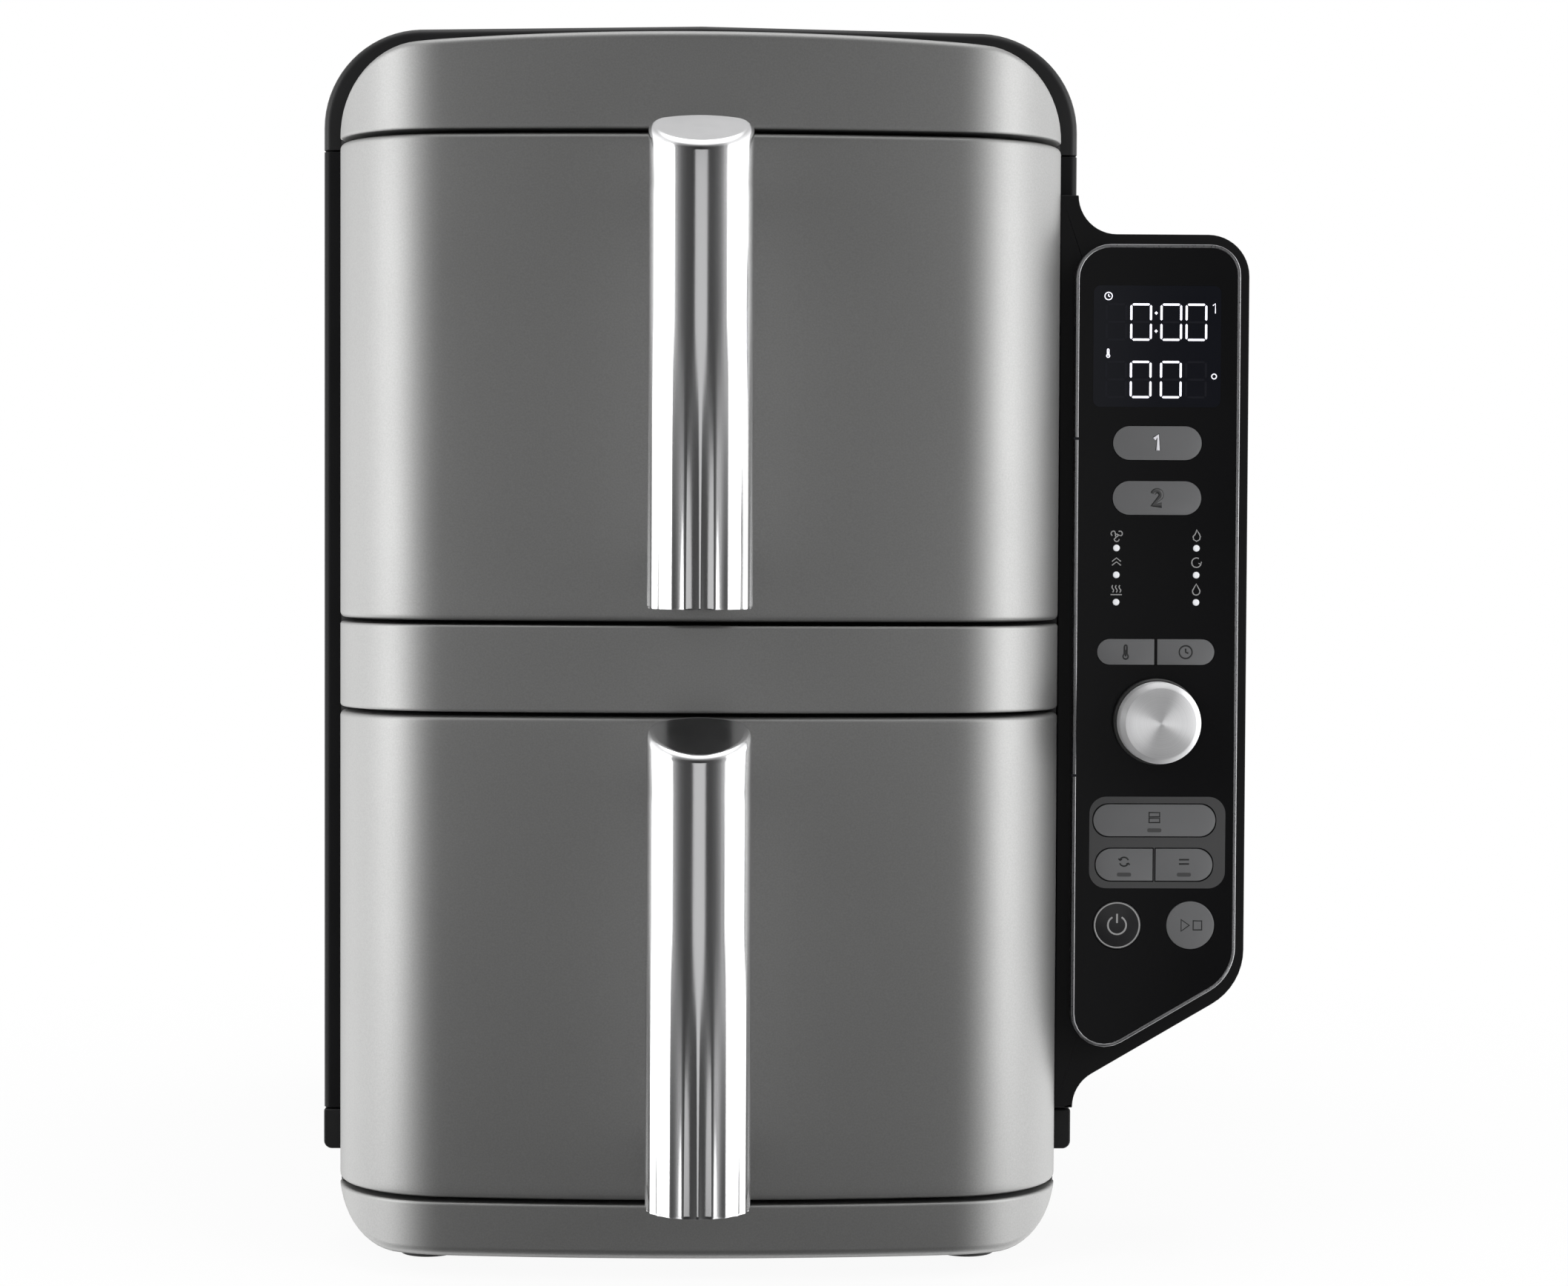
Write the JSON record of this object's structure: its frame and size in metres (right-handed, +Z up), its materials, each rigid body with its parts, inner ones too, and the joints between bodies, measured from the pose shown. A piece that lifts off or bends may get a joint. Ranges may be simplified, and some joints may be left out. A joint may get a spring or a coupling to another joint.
{
  "type": "air fryer",
  "caption": "Tall slim air fryer with stacked pull-out drawers, fluted chromed handles and a control pod on its right side.",
  "frame": {"origin": "centre of the bounding box at the table level", "axes": "+Y runs from the drawer fronts to the back, the fronts face -Y; +X is the viewer's right, where the control pod stands; +Z is up"},
  "size_m": [0.2892, 0.47, 0.385],
  "materials": {
    "front_grey": "metallic grey lacquer, satin, on moulded plastic",
    "cover_black": "moulded plastic with a fine grain, slightly lighter black",
    "shell_black": "moulded plastic with a fine grain, black",
    "base_black": "moulded plastic, black",
    "foot_rubber": "soft black rubber",
    "screw_steel": "blackened steel",
    "liner_steel": "aluminised sheet, dull",
    "coated_steel": "steel with a dark grey ceramic non-stick coat",
    "heater_steel": "heater tube, oxidised steel",
    "motor_steel": "plated steel",
    "fan_aluminium": "pressed aluminium",
    "shaft_steel": "ground steel",
    "fan_plastic": "moulded plastic",
    "board_green": "glass-filled resin board",
    "pod_black": "moulded plastic with a fine grain, black",
    "fascia_black": "smooth satin black",
    "trim_silver": "metallised plastic line round the fascia",
    "display_dark": "smoked window with pale digits behind it",
    "light_clear": "clear plastic light guide",
    "key_grey": "moulded grey plastic, satin",
    "dial_metal": "spun and brushed face",
    "dial_black": "moulded plastic, black",
    "handle_chrome": "polished chrome plate over a moulding",
    "handle_plastic": "moulded plastic, black",
    "silicone": "food-grade silicone, black"
  },
  "bodies": {
    "housing": {"front_bezel": "front_grey", "top_cover": "cover_black", "left_side_panel": "shell_black", "right_side_panel": "shell_black", "left_skirt": "cover_black", "right_skirt": "cover_black", "base_tray": "base_black", "feet": "foot_rubber", "rear_cover": "shell_black", "housing_screws": "screw_steel", "upper_liner": "liner_steel", "lower_liner": "liner_steel", "divider_shield": "liner_steel", "drawer_runners": "shaft_steel", "drawer_switches": "handle_plastic", "heaters": "heater_steel", "fan_guards": "shaft_steel", "motors": "motor_steel", "motor_brackets": "motor_steel", "motor_bearings": "shaft_steel", "thermal_cutouts": "light_clear", "power_board": "board_green", "inlet_gland": "foot_rubber", "pod_housing": "pod_black", "fascia_trim": "trim_silver", "pod_fascia": "fascia_black", "display_module": "display_dark", "control_board": "board_green", "light_pipes": "light_clear", "encoder": "motor_steel"},
    "upper_drawer": {"upper_drawer_front": "front_grey", "upper_basket": "coated_steel", "upper_handle": "handle_chrome", "upper_handle_core": "handle_plastic"},
    "upper_plate": {"upper_crisper_plate": "coated_steel", "upper_plate_bumpers": "silicone"},
    "upper_fan": {"upper_impeller": "fan_aluminium", "upper_rotor": "shaft_steel", "upper_cooling_fan": "fan_plastic"},
    "lower_drawer": {"lower_drawer_front": "front_grey", "lower_basket": "coated_steel", "lower_handle": "handle_chrome", "lower_handle_core": "handle_plastic"},
    "lower_plate": {"lower_crisper_plate": "coated_steel", "lower_plate_bumpers": "silicone"},
    "lower_fan": {"lower_impeller": "fan_aluminium", "lower_rotor": "shaft_steel", "lower_cooling_fan": "fan_plastic"},
    "dial": {"dial_cap": "dial_metal", "dial_skirt": "dial_black", "dial_shaft": "shaft_steel"},
    "key_one": {"key_one": "key_grey"},
    "key_two": {"key_two": "key_grey"},
    "key_temp": {"key_temp": "key_grey"},
    "key_time": {"key_time": "key_grey"},
    "key_wide": {"key_wide": "key_grey"},
    "key_sync": {"key_sync": "key_grey"},
    "key_match": {"key_match": "key_grey"},
    "key_power": {"key_power": "key_grey"},
    "key_start": {"key_start": "key_grey"}
  },
  "joints": [
    {"name": "upper_drawer_slide", "type": "slide", "parent": "housing", "child": "upper_drawer", "axis": [0, -1, 0], "range_m": [0, 0.3]},
    {"name": "lower_drawer_slide", "type": "slide", "parent": "housing", "child": "lower_drawer", "axis": [0, -1, 0], "range_m": [0, 0.3]},
    {"name": "upper_plate_lift", "type": "slide", "parent": "upper_drawer", "child": "upper_plate", "axis": [0, 0, 1], "range_m": [0, 0.1]},
    {"name": "lower_plate_lift", "type": "slide", "parent": "lower_drawer", "child": "lower_plate", "axis": [0, 0, 1], "range_m": [0, 0.1]},
    {"name": "upper_fan_spin", "type": "hinge", "parent": "housing", "child": "upper_fan", "pos_m": [-0.02685, 0.158, 0.2732], "axis": [0, 1, 0], "continuous": true},
    {"name": "lower_fan_spin", "type": "hinge", "parent": "housing", "child": "lower_fan", "pos_m": [-0.02685, 0.158, 0.0981], "axis": [0, 1, 0], "continuous": true},
    {"name": "dial_turn", "type": "hinge", "parent": "housing", "child": "dial", "pos_m": [0.1154, -0.152, 0.1685], "axis": [0, 1, 0], "continuous": true},
    {"name": "key_one_press", "type": "slide", "parent": "housing", "child": "key_one", "axis": [0, 1, 0], "range_m": [0, 0.0004], "stiffness_N_per_m": 2500, "springref_m": -0.0002},
    {"name": "key_two_press", "type": "slide", "parent": "housing", "child": "key_two", "axis": [0, 1, 0], "range_m": [0, 0.0004], "stiffness_N_per_m": 2500, "springref_m": -0.0002},
    {"name": "key_temp_press", "type": "slide", "parent": "housing", "child": "key_temp", "axis": [0, 1, 0], "range_m": [0, 0.0004], "stiffness_N_per_m": 2500, "springref_m": -0.0002},
    {"name": "key_time_press", "type": "slide", "parent": "housing", "child": "key_time", "axis": [0, 1, 0], "range_m": [0, 0.0004], "stiffness_N_per_m": 2500, "springref_m": -0.0002},
    {"name": "key_wide_press", "type": "slide", "parent": "housing", "child": "key_wide", "axis": [0, 1, 0], "range_m": [0, 0.0004], "stiffness_N_per_m": 2500, "springref_m": -0.0002},
    {"name": "key_sync_press", "type": "slide", "parent": "housing", "child": "key_sync", "axis": [0, 1, 0], "range_m": [0, 0.0004], "stiffness_N_per_m": 2500, "springref_m": -0.0002},
    {"name": "key_match_press", "type": "slide", "parent": "housing", "child": "key_match", "axis": [0, 1, 0], "range_m": [0, 0.0004], "stiffness_N_per_m": 2500, "springref_m": -0.0002},
    {"name": "key_power_press", "type": "slide", "parent": "housing", "child": "key_power", "axis": [0, 1, 0], "range_m": [0, 0.0004], "stiffness_N_per_m": 2500, "springref_m": -0.0002},
    {"name": "key_start_press", "type": "slide", "parent": "housing", "child": "key_start", "axis": [0, 1, 0], "range_m": [0, 0.0004], "stiffness_N_per_m": 2500, "springref_m": -0.0002}
  ]
}
